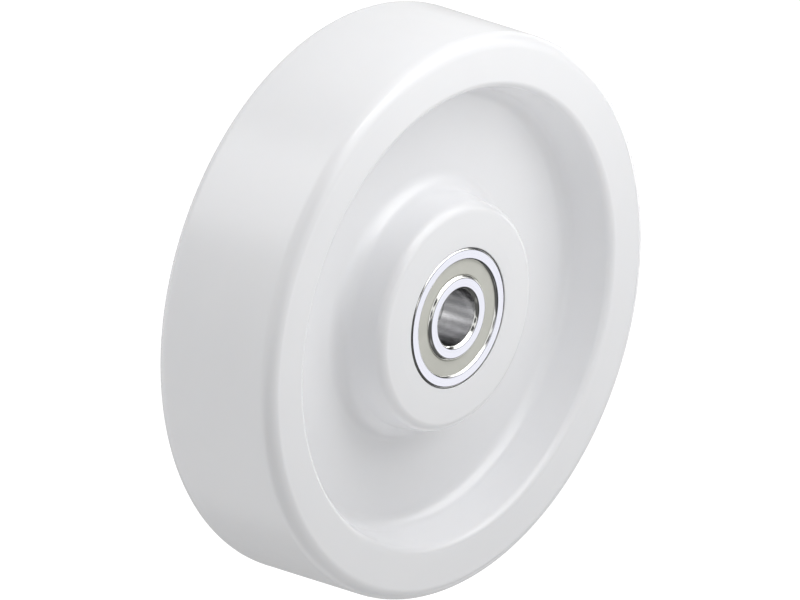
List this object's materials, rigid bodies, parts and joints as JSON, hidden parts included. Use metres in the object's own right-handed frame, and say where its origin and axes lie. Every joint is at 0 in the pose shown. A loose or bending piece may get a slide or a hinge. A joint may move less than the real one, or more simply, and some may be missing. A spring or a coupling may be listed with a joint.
{
  "type": "castor wheel",
  "caption": "White moulded castor wheel with a flat tread, recessed web and tapered hub, carrying two sealed ball bearings for a plain axle.",
  "frame": {"origin": "middle of the wheel, on its axle's centre line and half way through its width", "axes": "+Z along the axle, out of the front face; the wheel lies on its rear face"},
  "size_m": [0.2, 0.2, 0.0516],
  "materials": {
    "nylon": "satin white moulded nylon",
    "bearing_steel": "ground and polished bearing steel",
    "seal": "matt warm grey seal",
    "pressed_steel": "pressed steel strip",
    "turned_steel": "turned steel tube"
  },
  "bodies": {
    "wheel": {"wheel_body": "nylon", "front_outer_ring": "bearing_steel", "front_outer_seal": "seal", "front_inner_seal": "seal", "rear_outer_ring": "bearing_steel", "rear_outer_seal": "seal", "rear_inner_seal": "seal"},
    "axle_sleeve": {"spacer_tube": "turned_steel", "front_inner_ring": "bearing_steel", "rear_inner_ring": "bearing_steel"},
    "front_cage": {"front_cage_outer_half": "pressed_steel", "front_cage_inner_half": "pressed_steel", "front_ball_1": "bearing_steel", "front_ball_2": "bearing_steel", "front_ball_3": "bearing_steel", "front_ball_4": "bearing_steel", "front_ball_5": "bearing_steel", "front_ball_6": "bearing_steel", "front_ball_7": "bearing_steel", "front_cage_rivet_1": "pressed_steel", "front_cage_rivet_2": "pressed_steel", "front_cage_rivet_3": "pressed_steel", "front_cage_rivet_4": "pressed_steel", "front_cage_rivet_5": "pressed_steel", "front_cage_rivet_6": "pressed_steel", "front_cage_rivet_7": "pressed_steel"},
    "rear_cage": {"rear_cage_outer_half": "pressed_steel", "rear_cage_inner_half": "pressed_steel", "rear_ball_1": "bearing_steel", "rear_ball_2": "bearing_steel", "rear_ball_3": "bearing_steel", "rear_ball_4": "bearing_steel", "rear_ball_5": "bearing_steel", "rear_ball_6": "bearing_steel", "rear_ball_7": "bearing_steel", "rear_cage_rivet_1": "pressed_steel", "rear_cage_rivet_2": "pressed_steel", "rear_cage_rivet_3": "pressed_steel", "rear_cage_rivet_4": "pressed_steel", "rear_cage_rivet_5": "pressed_steel", "rear_cage_rivet_6": "pressed_steel", "rear_cage_rivet_7": "pressed_steel"}
  },
  "joints": [
    {"name": "axle_turn", "type": "hinge", "parent": "wheel", "child": "axle_sleeve", "pos_m": [0, 0, 0], "axis": [0, 0, 1], "continuous": true},
    {"name": "front_cage_turn", "type": "hinge", "parent": "wheel", "child": "front_cage", "pos_m": [0, 0, 0.0182], "axis": [0, 0, 1], "continuous": true},
    {"name": "rear_cage_turn", "type": "hinge", "parent": "wheel", "child": "rear_cage", "pos_m": [0, 0, -0.0182], "axis": [0, 0, 1], "continuous": true}
  ],
  "couplings": [
    {"joint": "front_cage_turn", "follows": "axle_turn", "ratio": 0.36771},
    {"joint": "rear_cage_turn", "follows": "axle_turn", "ratio": 0.36771}
  ]
}
